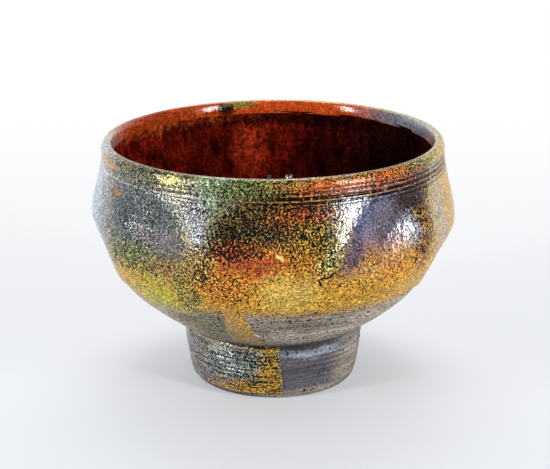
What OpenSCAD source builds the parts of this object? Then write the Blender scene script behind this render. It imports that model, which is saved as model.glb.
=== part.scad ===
// Raku tea bowl: a thrown clay bowl on a luted foot ring, with its coats of glaze as separate skins.
// The table is at z = 0, the turning axis is Z, and angles run from the front (-Y) towards the right (+X).

/* [Bowl] */
// Widest diameter of the thrown clay, over the ridges
belly_d = 124.6; // [120:0.1:130]
// Height of the widest part above the table
belly_z = 59.9; // [57:0.1:63]
// Diameter of the clay just under its rounded rim
rim_d = 116.8; // [113:0.1:119]
// Height of the clay rim above the table
rim_z = 85.4; // [83:0.1:90]
// Diameter where the bowl meets its foot
seam_d = 64; // [63:0.5:68]
// Angle above level at which the wall springs from the foot
spring_angle = 35; // [30:1:40]
// Thickness of the thrown wall
wall = 5.2; // [4:0.1:6]
// Thickness of the clay floor
floor_t = 7.8; // [6:0.1:9]

/* [Lip] */
// Thickness of the clay at the lip
lip_w = 2.7; // [2.4:0.1:4]
// Depth below the rim of the lip's inner edge
lip_drop = 3.6; // [3:0.1:4]
// How far the outside rounds in towards the top of the rim
rim_round = 1.6; // [0.5:0.1:1.8]
// Height over which the outside rounds in
rim_round_h = 2.4; // [1:0.1:3]

/* [Scored lines] */
// Depth below the rim of the upper line round the neck
upper_line_drop = 5.5; // [5:0.1:5.7]
// Depth below the rim of the lower line round the neck
lower_line_drop = 6.9; // [6.8:0.1:8]
// Width of a scored line
line_w = 0.9; // [0.5:0.1:1.2]
// Depth of a scored line
line_depth = 0.5; // [0.1:0.1:0.7]

/* [Dents] */
// How deep the pressed dents are, as a share of the depths listed below
dent_share = 1; // [0:0.05:1.2]
// How much of each dent shows on the inside of the wall
dent_through = 0.85; // [0:0.05:1]

/* [Foot] */
// Height of the foot ring
foot_h = 20.2; // [19:0.1:20.5]
// Diameter of the foot ring at its top
foot_top_d = 61.8; // [60:0.1:63]
// Diameter of the foot ring's side, just above its rounded lower edge
foot_side_d = 58; // [57:0.1:60]
// Outer diameter of the flat ring that the bowl rests on
foot_rest_d = 52.6; // [50:0.1:54]
// Height of the rounded lower edge
foot_edge_h = 3.4; // [2:0.1:4]
// Diameter of the hollow under the foot, at the table
hollow_d = 43; // [36:0.5:46]
// Diameter of the hollow under the foot, at the bowl
hollow_top_d = 47; // [40:0.5:50]
// How far to the right of the bowl's axis the foot was set on
foot_shift = 0.4; // [-1:0.1:1]

/* [Glaze] */
// Thickness of the coat on the outside
outer_coat = 0.7; // [0.4:0.1:1]
// Thickness of the coat on the inside
inner_coat = 0.6; // [0.4:0.1:1]
// Thickness of the coat on the lip
lip_coat = 0.7; // [0.4:0.1:1]
// Thickness of the coat on the foot
foot_coat = 0.5; // [0.3:0.1:0.8]
// Height of the glaze line on the outside of the bowl
glaze_line_z = 41; // [39:0.5:43]

/* [Hidden] */

$fn = 96;

// Each dent starts at the ridge angle given first, and ends at the next dent's ridge. A ridge leans to the
// right by the degrees given last for each 10 mm of height, and has the angle given at the height lean_z.
// [ridge angle, depth, height of the middle, reach above it, reach below it, lean]
dents = [
    [-19, 3.4, 56, 22, 22, 1],
    [17, 5.0, 64.5, 16, 18, 5.5],
    [57.5, 5.0, 46, 13, 21, 1],
    [100, 3.6, 64, 16, 20, 0],
    [160, 3.6, 62, 17, 22, 0],
    [205, 3.6, 64, 16, 20, 0],
    [255, 4.3, 48.5, 14.5, 16, 0],
    [302, 3.6, 60, 20, 20, 0]
];
lean_z = 62;
lean_from_z = 46;
// Share of the dents' depth by which they bring the ridges down too
ridge_share = 0.15;

belly_r = belly_d / 2;
rim_r = rim_d / 2;
seam_r = seam_d / 2;
slip_t = 0.5;
seam_z = foot_h + slip_t;

// The outside of the thrown wall, as [radius, height]: from the foot to the belly, and on to the rim.
// The pulls are shares of the rise, and say how long each stretch keeps its direction.
lower_rise = belly_z - seam_z;
upper_rise = rim_z - belly_z;
spring_pull = 0.5;
belly_pull_down = 0.46;
belly_pull_up = 0.31;
neck_pull = 0.4;
neck_pinch = 0.8;
lower_wall = [
    [seam_r, seam_z],
    [seam_r, seam_z] + lower_rise * spring_pull * [cos(spring_angle), sin(spring_angle)],
    [belly_r, belly_z - lower_rise * belly_pull_down],
    [belly_r, belly_z]
];
upper_wall = [
    [belly_r, belly_z],
    [belly_r, belly_z + upper_rise * belly_pull_up],
    [rim_r - neck_pinch, rim_z - upper_rise * neck_pull],
    [rim_r, rim_z]
];

// The rounded top of the lip, from the rim's crest to the lip's inner edge
crest = [rim_r - rim_round, rim_z];
lip_edge = [rim_r - lip_w, rim_z - lip_drop];
crest_pull = 0.6;
lip_pull = 0.55;
lip_top = [
    crest,
    crest - [crest_pull * (crest[0] - lip_edge[0]), 0],
    lip_edge + [0, lip_pull * lip_drop],
    lip_edge
];

// The inside of the thrown wall: from the lip down to the belly, and on to the middle of the floor
inner_belly_lift = 2;
under_lip = [0.6, -6];
shoulder_pull = 7;
side_pull = 0.57;
floor_pull = 0.52;
inner_belly = [belly_r - wall, belly_z + inner_belly_lift];
floor_z = seam_z + floor_t;
inner_rise = inner_belly[1] - floor_z;
inner_upper = [
    lip_edge,
    lip_edge + under_lip,
    inner_belly + [0, shoulder_pull],
    inner_belly
];
inner_lower = [
    inner_belly,
    inner_belly - [0, inner_rise * side_pull],
    [inner_belly[0] * floor_pull, floor_z],
    [0, floor_z]
];

// The glaze line ripples, and dips in a broad apron on the left
// Ripples: [waves in a turn, start angle, height]. Apron: angle, half of its width, softness, fall
glaze_ripples = [[5, 20, 0.5], [11, 75, 0.3]];
apron_angle = -38;
apron_half = 14;
apron_soft = 12;
apron_fall = 4.5;

// A run of glaze crosses the bare clay between these angles, and stops short of the foot
run_from = -22;
run_to = -9;

// The coat thins at its lower edge and partly fills the scored lines
coat_edge_share = 0.6;
line_fill = 0.7;

// The foot's flank stays straight at first, swells a little, and tucks in at its lower edge
foot_straight = 0.65;
foot_waist = 0.4;
foot_swell = 0.9;
foot_tuck = 0.5;
foot_edge_pull = 0.35;
foot_rest_pull = 1.6;

// The glazed part of the foot, and how far it stays above the table
foot_glaze_from = -178;
foot_glaze_to = 4;
foot_glaze_low = 0.9;

// How finely the surfaces are drawn
facet_angle = 5;
bare_rows = 5;
hem_rows = 2;
coat_rows = 7;
lip_rows = 4;
inner_upper_rows = 4;
inner_lower_rows = 8;
floor_cap = 0.94;
foot_steps = 6;
hem_z = glaze_line_z + 4;
neck_z = rim_z - lower_line_drop - 1.5 * line_w;
rim_row_shares = [1, 0.5, 0.2, 0];

function bezier(p, t) =
    let (s = 1 - t)
    pow(s, 3) * p[0] + 3 * s * s * t * p[1] + 3 * s * t * t * p[2] + pow(t, 3) * p[3];

function bezier_slope(p, t) =
    let (s = 1 - t)
    3 * s * s * (p[1] - p[0]) + 6 * s * t * (p[2] - p[1]) + 3 * t * t * (p[3] - p[2]);

// The point of a rising curve at a height, found by halving
function bezier_at_z(p, z, low = 0, high = 1, turns = 24) =
    let (mid = (low + high) / 2, here = bezier(p, mid))
    turns == 0 ? here
    : here[1] < z ? bezier_at_z(p, z, mid, high, turns - 1)
    : bezier_at_z(p, z, low, mid, turns - 1);

function sum(list, i = 0) = i < len(list) ? list[i] + sum(list, i + 1) : 0;

function reversed(list) = [for (i = [len(list) - 1 : -1 : 0]) list[i]];

function transpose(rows) = [for (i = [0 : len(rows[0]) - 1]) [for (row = rows) row[i]]];

function swell(x) = let (t = min(1, max(0, x))) t * t * (3 - 2 * t);

function turn_between(a, b) = abs((a - b + 540) % 360 - 180);

// How far the outside has rounded in at a height near the rim
function rounded_in(z) =
    let (t = min(1, max(0, 1 - (rim_z - z) / rim_round_h)))
    rim_round * (1 - sqrt(1 - t * t));

function wall_radius(z) = bezier_at_z(z < belly_z ? lower_wall : upper_wall, z)[0] - rounded_in(z);

// Outward normal of the thrown wall, as [radius, height]
function wall_normal(z) =
    let (d = 0.2, rise = (wall_radius(z + d) - wall_radius(z - d)) / (2 * d))
    [1, -rise] / norm([1, -rise]);

// Angle of a dent's ridge at a height, and of the ridge that ends it
function ridge_angle(k, z) = dents[k][0] + dents[k][5] * (max(z, lean_from_z) - lean_z) / 10;

function end_angle(k, z) = k + 1 < len(dents) ? ridge_angle(k + 1, z) : ridge_angle(0, z) + 360;

// The columns in which the wall is drawn, with one on every ridge, as [dent, place across it]
columns = [
    for (k = [0 : len(dents) - 1])
        let (count = round((end_angle(k, lean_z) - ridge_angle(k, lean_z)) / facet_angle))
        for (i = [0 : count - 1])
            [k, i / count]
];

function column_angle(column, z) =
    let (from = ridge_angle(column[0], z), to = end_angle(column[0], z))
    from + (to - from) * column[1];

// Depth of a dent along its middle, at a height
function pressed(k, z) =
    let (dent = dents[k], up = (z - dent[2]) / (z > dent[2] ? dent[3] : dent[4]))
    abs(up) >= 1 ? 0
    : dent_share * dent[1] * pow(cos(90 * up), 2);

// How far the dents push the wall in at a column and height: least on a ridge, most in a dent's middle
function dent_depth(column, z) =
    let (
        k = column[0],
        count = len(dents),
        middle = pressed(k, z),
        left = ridge_share * (middle + pressed((k + count - 1) % count, z)) / 2,
        right = ridge_share * (middle + pressed((k + 1) % count, z)) / 2,
        ridge = left + (right - left) * swell(column[1])
    )
    ridge + (middle - ridge) * pow(sin(180 * column[1]), 2);

// How far a scored line cuts into the wall at a height
function scored_depth(z) =
    line_depth * max([
        for (drop = [upper_line_drop, lower_line_drop])
            max(0, 1 - abs(z - rim_z + drop) / (line_w / 2))
    ]);

function on_column(column, rz) =
    let (a = column_angle(column, rz[1]))
    [rz[0] * sin(a), -rz[0] * cos(a), rz[1]];

function clay_outside(column, z) =
    on_column(column, [wall_radius(z) - dent_depth(column, z) - scored_depth(z), z]);

function coat_outside(column, z, thickness) =
    let (r = wall_radius(z) - dent_depth(column, z) - scored_depth(z) * line_fill)
    on_column(column, [r, z] + thickness * wall_normal(z));

// Height of the glaze line at a column
function glaze_edge(column) =
    let (a = column_angle(column, glaze_line_z))
    glaze_line_z
    + sum([for (w = glaze_ripples) w[2] * sin(w[0] * a + w[1])])
    - apron_fall * swell((apron_half - turn_between(a, apron_angle)) / apron_soft + 0.5);

// Heights at which a column of the glazed wall is drawn, from the glaze line to the rim
function coat_heights(column) =
    let (edge = glaze_edge(column))
    concat(
        [for (i = [0 : hem_rows - 1]) edge + (hem_z - edge) * i / hem_rows],
        [for (i = [0 : coat_rows]) hem_z + (neck_z - hem_z) * i / coat_rows],
        [for (drop = [lower_line_drop, upper_line_drop], side = [-1, 0, 1]) rim_z - drop + side * line_w / 2],
        [for (share = rim_row_shares) rim_z - rim_round_h * share]
    );

// Heights at which a column of the bare wall is drawn, from the foot to just under the glaze line
function bare_heights(column) =
    let (edge = glaze_edge(column))
    [for (i = [0 : bare_rows - 1]) seam_z + (edge - seam_z) * i / bare_rows];

// A row of the clay on the lip or inside, as [radius, height, normal away from the clay]
function inside_row(curve, t) =
    let (here = bezier(curve, t), along = bezier_slope(curve, t))
    [here[0], here[1], [along[1], -along[0]] / norm(along)];

lip_top_rows = [for (i = [0 : lip_rows - 1]) inside_row(lip_top, i / lip_rows)];

inside_rows = concat(
    [for (i = [0 : inner_upper_rows - 1]) inside_row(inner_upper, i / inner_upper_rows)],
    [for (i = [0 : inner_lower_rows]) inside_row(inner_lower, floor_cap * i / inner_lower_rows)]
);

// A ring of the inside wall, raised from the clay by a coat
function inside_ring(row, coat) = [
    for (column = columns)
        on_column(column, [row[0] - dent_through * dent_depth(column, row[1]), row[1]] + coat * row[2])
];

function turned_ring(rz) = [for (column = columns) on_column(column, rz)];

bare_rings = transpose([for (column = columns) [for (z = bare_heights(column)) clay_outside(column, z)]]);
outside_rings = transpose([for (column = columns) [for (z = coat_heights(column)) clay_outside(column, z)]]);
lip_rings = [for (i = [1 : lip_rows - 1]) turned_ring([lip_top_rows[i][0], lip_top_rows[i][1]])];
inside_rings = [for (row = inside_rows) inside_ring(row, 0)];

// Where the coats on the lip and on the inside meet
lip_mitre = lip_edge + [-inner_coat, inner_coat / 2];

// The section of the run of glaze at a column: down its face, and back up along the clay
function run_section(column) =
    let (
        bare = bare_heights(column),
        heights = concat([for (i = [1 : bare_rows - 1]) bare[i]], [glaze_edge(column)])
    )
    concat(
        [for (z = reversed(heights)) coat_outside(column, z, outer_coat * coat_edge_share)],
        [for (z = heights) clay_outside(column, z)]
    );

// The foot's outside, from its top to the flat ring that it rests on, stood off by a coat
function foot_side(coat) =
    let (
        top = foot_top_d / 2 + coat,
        side = foot_side_d / 2 + coat,
        rest = foot_rest_d / 2 + coat,
        upper = [top, foot_h * foot_straight],
        lower = [side + foot_swell, foot_h * foot_waist],
        edge = [side - foot_tuck, foot_edge_h * foot_edge_pull],
        under = [rest + foot_rest_pull, 0],
        flank = [[top, foot_h], upper, lower, [side, foot_edge_h]],
        turn_in = [[side, foot_edge_h], edge, under, [rest, 0]]
    )
    concat(
        [for (i = [0 : foot_steps]) bezier(flank, i / foot_steps)],
        [for (i = [1 : foot_steps]) bezier(turn_in, i / foot_steps)]
    );

// A closed skin through rings of points. Looking at its outside with a ring's points running
// to the right, the next ring is above. A looped skin ends on its first ring, others are capped.
module skin(rings, looped = false) {
    count = len(rings[0]);
    last = len(rings) - 1;
    walls = [
        for (i = [0 : looped ? last : last - 1], j = [0 : count - 1])
            let (
                up = (i + 1) % len(rings),
                next = (j + 1) % count,
                a = i * count + j,
                b = i * count + next,
                c = up * count + next,
                d = up * count + j
            )
            each [[a, d, c], [a, c, b]]
    ];
    caps = looped ? [] : [
        [for (j = [0 : count - 1]) j],
        [for (j = [count - 1 : -1 : 0]) last * count + j]
    ];
    polyhedron(points = [for (ring = rings) each ring], faces = concat(walls, caps), convexity = 6);
}

// The thrown bowl: bare wall, glazed wall, rounded lip and inside
module bowl_body() {
    color([0.52, 0.49, 0.46])
        skin(concat(bare_rings, outside_rings, lip_rings, inside_rings));
}

// Stands a piece of the foot where the foot was set on
module set_on_foot() {
    translate([foot_shift, 0, 0])
        children();
}

// The turned foot, hollow underneath
module foot_ring() {
    hollow_edge = 1;
    hollow = [
        [hollow_d / 2 + hollow_edge, 0],
        [hollow_d / 2, hollow_edge],
        [hollow_top_d / 2, foot_h]
    ];
    color([0.48, 0.45, 0.46])
        set_on_foot()
            rotate_extrude()
                polygon(concat(foot_side(0), hollow));
}

// The layer of slip that joins the foot to the bowl, set back a little from both edges
module luting_slip() {
    inset = 0.5;
    color([0.36, 0.33, 0.33])
        set_on_foot()
            translate([0, 0, foot_h])
                difference() {
                    cylinder(d = foot_top_d - 2 * inset, h = slip_t);
                    translate([0, 0, -slip_t])
                        cylinder(d = hollow_top_d + 2 * inset, h = 3 * slip_t);
                }
}

// The coloured coat on the outside, with the run that crosses the bare clay
module outer_glaze() {
    coat_rings = transpose([
        for (column = columns)
            let (heights = coat_heights(column))
            [for (i = [0 : len(heights) - 1])
                coat_outside(column, heights[i], outer_coat * (i == 0 ? coat_edge_share : 1))]
    ]);
    color([0.66, 0.48, 0.16]) {
        skin(concat(coat_rings, reversed(outside_rings)), looped = true);
        skin([
            for (column = columns)
                let (a = column_angle(column, glaze_line_z))
                if (a >= run_from && a <= run_to) run_section(column)
        ]);
    }
}

// The coat on the rounded lip, from the crest to the inside
module lip_glaze() {
    outer_top = crest + outer_coat * wall_normal(rim_z);
    color([0.72, 0.27, 0.13])
        skin(concat(
            [turned_ring(crest), turned_ring(outer_top)],
            [for (row = lip_top_rows) turned_ring([row[0], row[1]] + lip_coat * row[2])],
            [turned_ring(lip_mitre), turned_ring(lip_edge)],
            reversed(lip_rings)
        ), looped = true);
}

// The coat that lines the inside
module inner_glaze() {
    color([0.34, 0.08, 0.05])
        skin(concat(
            reversed(inside_rings),
            [turned_ring(lip_mitre)],
            [for (i = [1 : len(inside_rows) - 1]) inside_ring(inside_rows[i], inner_coat)]
        ));
}

// The coat on one half of the foot
module foot_glaze() {
    coat = foot_side(foot_coat);
    clay = foot_side(0);
    drawn = [for (i = [0 : len(clay) - 1]) if (clay[i][1] > foot_glaze_low) i];
    color([0.3, 0.29, 0.26])
        set_on_foot()
            rotate([0, 0, foot_glaze_from - 90])
                rotate_extrude(angle = foot_glaze_to - foot_glaze_from)
                    polygon(concat(
                        [for (i = drawn) coat[i]],
                        [for (i = reversed(drawn)) clay[i]]
                    ));
}

bowl_body();
foot_ring();
luting_slip();
outer_glaze();
lip_glaze();
inner_glaze();
foot_glaze();
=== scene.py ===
import math
from collections import namedtuple

import bpy
import numpy as np
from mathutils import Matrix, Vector


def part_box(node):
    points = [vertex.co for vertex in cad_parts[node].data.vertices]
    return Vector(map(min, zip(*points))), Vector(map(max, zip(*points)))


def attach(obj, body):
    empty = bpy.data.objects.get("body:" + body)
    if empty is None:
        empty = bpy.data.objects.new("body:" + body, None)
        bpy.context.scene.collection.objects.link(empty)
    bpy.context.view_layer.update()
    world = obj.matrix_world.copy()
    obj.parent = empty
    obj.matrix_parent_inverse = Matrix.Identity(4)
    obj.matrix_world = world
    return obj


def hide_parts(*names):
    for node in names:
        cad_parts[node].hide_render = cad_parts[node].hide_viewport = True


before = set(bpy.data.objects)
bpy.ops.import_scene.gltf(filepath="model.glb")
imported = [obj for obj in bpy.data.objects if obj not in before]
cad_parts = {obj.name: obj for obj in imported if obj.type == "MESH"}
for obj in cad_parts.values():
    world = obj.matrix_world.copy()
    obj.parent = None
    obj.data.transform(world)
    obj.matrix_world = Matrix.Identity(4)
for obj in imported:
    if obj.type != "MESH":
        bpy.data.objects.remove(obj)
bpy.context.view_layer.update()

# Lengths are in millimetres and angles in degrees from the front (-Y) towards the right (+X).
MM = 0.001


def box_mm(node):
    low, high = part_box(node)
    return np.array(low) / MM, np.array(high) / MM


# Sizes that come from the frame
BODY_LOW, BODY_HIGH = box_mm("bowl_body")
LIP_LOW, LIP_HIGH = box_mm("lip_glaze")
FOOT_LOW, FOOT_HIGH = box_mm("foot_ring")
SLIP_LOW, SLIP_HIGH = box_mm("luting_slip")
SEAM_Z = BODY_LOW[2]
RIM_Z = BODY_HIGH[2]
FLOOR_Z = box_mm("inner_glaze")[0][2]
FOOT_TOP_Z = FOOT_HIGH[2]
FOOT_X = (FOOT_LOW[0] + FOOT_HIGH[0]) / 2
FOOT_TOP_R = FOOT_HIGH[0] - FOOT_X
FOOT_GLAZE_LOW = box_mm("foot_glaze")[0][2]
OUTER_COAT = box_mm("outer_glaze")[1][0] - BODY_HIGH[0]
LIP_COAT = LIP_HIGH[2] - RIM_Z
LIP_DROP = RIM_Z - LIP_LOW[2]

# Sizes of the thrown shape that a box does not give. The dents bring the belly's box in a little.
BELLY_R = BODY_HIGH[0] + 0.16
BELLY_Z = SEAM_Z + 0.606 * (RIM_Z - SEAM_Z)
SEAM_R = FOOT_TOP_R + 1.1
SPRING_ANGLE = 35
CREST_R = LIP_HIGH[0] - 0.53 * OUTER_COAT
RIM_ROUND = 1.6
RIM_ROUND_H = 2.4
RIM_R = CREST_R + RIM_ROUND
LIP_W = 2.7
WALL = 5.2
INNER_COAT = 0.6
FOOT_COAT = 0.5
FOOT_SIDE_R = FOOT_TOP_R - 1.9
FOOT_REST_R = FOOT_TOP_R - 4.6
FOOT_EDGE_H = 3.4
HOLLOW_R = 21.5
HOLLOW_TOP_R = 23.5

# Pressed dents: angle of the ridge on the left, depth, height of the middle, reach above and below it, and
# the ridge's lean, in degrees to the right over LEAN_OVER of height. They are the solids' dents, but the
# second is 0.45 mm shallower here, so that its glint stays small.
Dent = namedtuple("Dent", "ridge depth middle above below lean")
DENTS = [
    Dent(-19, 3.4, 56, 22, 22, 1),
    Dent(17, 4.55, 64.5, 16, 18, 5.5),
    Dent(57.5, 5.0, 46, 13, 21, 1),
    Dent(100, 3.6, 64, 16, 20, 0),
    Dent(160, 3.6, 62, 17, 22, 0),
    Dent(205, 3.6, 64, 16, 20, 0),
    Dent(255, 4.3, 48.5, 14.5, 16, 0),
    Dent(302, 3.6, 60, 20, 20, 0),
]
# Ridges lean about one height, and stand upright below the other
LEAN_Z = 62
LEAN_FROM_Z = 46
LEAN_OVER = 10
# Share of the dents' depth by which they bring the ridges down too
RIDGE_SHARE = 0.15
# Share of the dents' depth that shows inside
DENT_THROUGH = 0.85

# Scored lines: distance below the rim, depth of the cut and half of its width
Line = namedtuple("Line", "drop deep half")
LINES = [
    Line(2.6, 0.18, 0.25),
    Line(3.8, 0.34, 0.32),
    Line(5.5, 0.55, 0.5),
    Line(6.95, 0.42, 0.36),
    Line(8.4, 0.2, 0.32),
]
# A burr stands between the two deep lines
BURR_DROP = 6.25
# The lines rise and fall: how often in a turn, start angle of each further line, and by how much
LINE_TURNS = 3
LINE_START = 40
LINE_SWING = 0.1
# They all lie within this distance of the rim
LINED_H = 9.5
# Glaze fills them on the left and at the back, where this share of their depth is left. They are open from
# the second angle of LINE_OPENS to the second of LINE_FILLS, and on the left the soot in them starts later.
LINE_LEFT_OPEN = 0.3
LINE_OPENS = (-25, 5)
LINE_FILLS = (150, 110)
SOOT_LATER = 10
# The neck is out of level and rises to the right: by how much, from what height and over what height
LEVEL_TILT = 0.4
LEVEL_FROM_Z = 66
LEVEL_OVER = 16

# The outer glaze ends at a line, with an apron on the left
GLAZE_LINE_Z = 41.0
APRON_ANGLE = -38
APRON_HALF = 14
APRON_SOFT = 12
APRON_FALL = 4.5
# A run crosses the bare clay. It spreads to the right and draws in on the left near its foot.
RUN_LEFT_X = -15.5
RUN_RIGHT_X = -10.0
RUN_SPREAD = 0.42
RUN_DRAW_IN = 0.35
RUN_DRAW_IN_Z = 30
RUN_LOW_Z = SEAM_Z + 2.4
# It lies within this angle of the front, and its foot swells between these places
RUN_ANGLE = 60
RUN_SWELLS_X = (-9, -4)
RUN_SWELLS_Z = (34, 29)
# The foot's glaze ends at a slanting edge on the front (degrees, degrees per mm) and at one on the back
FOOT_GLAZE_RIGHT = 3.0
FOOT_GLAZE_SLANT = 0.16
FOOT_GLAZE_BACK = -176
FOOT_MM_PER_DEGREE = 0.54
# Heights between which the outer glaze's edge lies, and where rows of points are close
EDGE_LOW_Z = 34
EDGE_HIGH_Z = 46
# A coat thins out to its edge, with a low roll along it, which is thick at the foot of the run
COAT_TAPER = 2.0
ROLL_HIGH = 0.1
ROLL_IN = 0.9
ROLL_HALF = 0.7
RUN_ROLL = 8.2
# Beyond its edge a coat dips under the clay, where its back lies too
COAT_DIP = 0.15
COAT_DEEP = 0.3

# Clay under a coat is drawn a little deeper than the coat's back, so that it stays hidden
CLAY_UNDER = 0.35
CLAY_UNDER_INSIDE = 0.4
# The base inside the foot is sunk and combed in a spiral: depth, height of the combing, radians per mm
BASE_SUNK = 0.35
COMB_HIGH = 0.16
COMB_PACE = 2.1
# The inside's unevenness is the outside's, turned round. It comes in between two radii.
INSIDE_TURN = 40
INSIDE_UNEVEN_R = (6, 26)
# The inside's floor has a spiral: height, radians per mm, and the radii where it comes in and dies out
SPIRAL_HIGH = 0.12
SPIRAL_PACE = 1.5
SPIRAL_IN_R = (1, 7)
SPIRAL_OUT_R = (30, 18)
# Two beads of glaze on the inside of the back wall: angle, height of the middle, how high and wide
Bead = namedtuple("Bead", "angle z high wide")
BEADS = [Bead(173.5, 56.4, 1.6, 1.3), Bead(-178.5, 56.8, 0.9, 0.9)]

COLUMNS = 480
ANGLES = np.linspace(-180, 180, COLUMNS, endpoint=False)[None, :]


# Curves and small helpers

def bezier(points, t):
    p = np.array(points, float)
    t = np.asarray(t, float)[..., None]
    s = 1 - t
    return s**3 * p[0] + 3 * s * s * t * p[1] + 3 * s * t * t * p[2] + t**3 * p[3]


def smooth(x):
    t = np.clip(x, 0, 1)
    return t * t * (3 - 2 * t)


def ramp(x, low, high):
    """A smooth step from 0 at low to 1 at high."""
    return smooth((x - low) / (high - low))


def normals_of(path):
    """Left-hand normals of a path of (radius, height) points."""
    along = np.gradient(path, axis=0)
    along /= np.linalg.norm(along, axis=1)[:, None]
    return np.stack([along[:, 1], -along[:, 0]], axis=1)


def rounded(points):
    """An open path with its corners cut twice, its ends kept."""
    path = np.array(points, float)
    for _ in range(2):
        near = path[:-1] * 0.75 + path[1:] * 0.25
        far = path[:-1] * 0.25 + path[1:] * 0.75
        inner = np.stack([near, far], axis=1).reshape(-1, 2)
        path = np.concatenate([path[:1], inner[1:-1], path[-1:]])
    return path


def turned(angle, radius, height, axis_x=0):
    """Points in metres from an angle, a radius and a height, round an upright axis."""
    a = np.radians(angle)
    level = height + LEVEL_TILT * np.sin(a) * ramp(height, LEVEL_FROM_Z, LEVEL_FROM_Z + LEVEL_OVER)
    x, y, z = np.broadcast_arrays(axis_x + radius * np.sin(a), -radius * np.cos(a), level)
    return np.stack([x, y, z], axis=-1) * MM


def waves(seed, count, turns, pitch, size):
    """A gentle unevenness over angle and height, as a function."""
    draw = np.random.default_rng(seed)
    rows = [
        (draw.integers(turns[0], turns[1] + 1), 2 * np.pi / draw.uniform(*pitch), draw.uniform(0, 6.28))
        for _ in range(count)
    ]

    def at(angle, height):
        a = np.radians(angle)
        total = sum(np.sin(n * a + k * height + phase) for n, k, phase in rows)
        return size * total / math.sqrt(count)

    return at


THUMB_SIZE = 0.035
hand_lumps = waves(seed=3, count=6, turns=(2, 5), pitch=(30, 90), size=0.11)
thumb_marks = waves(seed=5, count=10, turns=(9, 26), pitch=(7, 22), size=THUMB_SIZE)
throwing_rings = waves(seed=8, count=5, turns=(0, 1), pitch=(2.2, 5.5), size=0.035)
turning_marks = waves(seed=11, count=7, turns=(0, 1), pitch=(1.1, 3.2), size=0.055)
# Where an edge runs up and down, edge_wander takes height times a pace for its angle
edge_wander = waves(seed=13, count=7, turns=(7, 40), pitch=(200, 400), size=0.33)


# The thrown shape, in curves that each have a start, two handles and an end, as (radius, height)

LOWER_RISE = BELLY_Z - SEAM_Z
UPPER_RISE = RIM_Z - BELLY_Z
SPRING = math.radians(SPRING_ANGLE)
LOWER_WALL = [
    (SEAM_R, SEAM_Z),
    np.array([SEAM_R, SEAM_Z]) + LOWER_RISE * 0.5 * np.array([math.cos(SPRING), math.sin(SPRING)]),
    (BELLY_R, BELLY_Z - LOWER_RISE * 0.46),
    (BELLY_R, BELLY_Z),
]
UPPER_WALL = [
    (BELLY_R, BELLY_Z),
    (BELLY_R, BELLY_Z + UPPER_RISE * 0.31),
    (RIM_R - 0.8, RIM_Z - UPPER_RISE * 0.4),
    (RIM_R, RIM_Z),
]
FINE = np.linspace(0, 1, 400)
WALL_PATH = np.concatenate([bezier(LOWER_WALL, FINE), bezier(UPPER_WALL, FINE[1:])])
TOP_SHARE = np.clip(1 - (RIM_Z - WALL_PATH[:, 1]) / RIM_ROUND_H, 0, 1)
WALL_PATH[:, 0] -= RIM_ROUND * (1 - np.sqrt(1 - TOP_SHARE**2))
WALL_NORMALS = normals_of(WALL_PATH)

CREST = np.array([CREST_R, RIM_Z])
LIP_EDGE = np.array([RIM_R - LIP_W, RIM_Z - LIP_DROP])
LIP_TOP = [
    CREST,
    CREST - [0.6 * (CREST[0] - LIP_EDGE[0]), 0],
    LIP_EDGE + [0, 0.55 * LIP_DROP],
    LIP_EDGE,
]
LIP_MITRE = LIP_EDGE + [-INNER_COAT, INNER_COAT / 2]
INNER_BELLY = np.array([BELLY_R - WALL, BELLY_Z + 2])
INNER_RISE = INNER_BELLY[1] - FLOOR_Z
INNER_UPPER = [LIP_EDGE, LIP_EDGE + [0.6, -6], INNER_BELLY + [0, 7], INNER_BELLY]
INNER_LOWER = [
    INNER_BELLY,
    INNER_BELLY - [0, INNER_RISE * 0.57],
    (INNER_BELLY[0] * 0.52, FLOOR_Z),
    (0.4, FLOOR_Z),
]


def wall_radius(z):
    return np.interp(z, WALL_PATH[:, 1], WALL_PATH[:, 0])


def wall_normal(z):
    return (np.interp(z, WALL_PATH[:, 1], WALL_NORMALS[:, 0]),
            np.interp(z, WALL_PATH[:, 1], WALL_NORMALS[:, 1]))


def ridge_angle(dent, z):
    return dent.ridge + dent.lean * (np.maximum(z, LEAN_FROM_Z) - LEAN_Z) / LEAN_OVER


def pressed(dent, z):
    """Depth of a dent along its middle."""
    reach = np.where(z > dent.middle, dent.above, dent.below)
    return dent.depth * np.cos(np.pi / 2 * np.clip((z - dent.middle) / reach, -1, 1))**2


def dent_depth(angle, z):
    """How far the dents push the wall in: least on a ridge, most in a dent's middle."""
    depth = np.zeros(np.broadcast(angle, z).shape)
    for before, dent, after in zip(DENTS[-1:] + DENTS[:-1], DENTS, DENTS[1:] + DENTS[:1]):
        start = ridge_angle(dent, z)
        share = (angle - start) % 360 / ((ridge_angle(after, z) - start) % 360)
        middle = pressed(dent, z)
        left, right = (RIDGE_SHARE * (middle + pressed(other, z)) / 2 for other in (before, after))
        ridge = left + (right - left) * smooth(share)
        depth = np.where(share < 1, ridge + (middle - ridge) * np.sin(np.pi * share)**2, depth)
    return depth


def line_cut(angle, z):
    """How far the scored lines cut in."""
    clear = LINE_LEFT_OPEN + (1 - LINE_LEFT_OPEN) * ramp(angle, *LINE_OPENS) * ramp(angle, *LINE_FILLS)
    cut = np.zeros(np.broadcast(angle, z).shape)
    for n, line in enumerate(LINES):
        wander = LINE_SWING * np.sin(np.radians(LINE_TURNS * angle + LINE_START * n))
        cut += line.deep * clear * np.exp(-((z - RIM_Z + line.drop - wander) / line.half)**2)
    return cut


def unevenness(angle, z):
    """What the potter's hands left, dying out towards the seam."""
    fade = ramp(z, SEAM_Z, SEAM_Z + 6)
    return fade * (hand_lumps(angle, z) + thumb_marks(angle, z) + throwing_rings(angle, z))


def clay_radius(angle, z):
    return wall_radius(z) - dent_depth(angle, z) + unevenness(angle, z)


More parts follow.
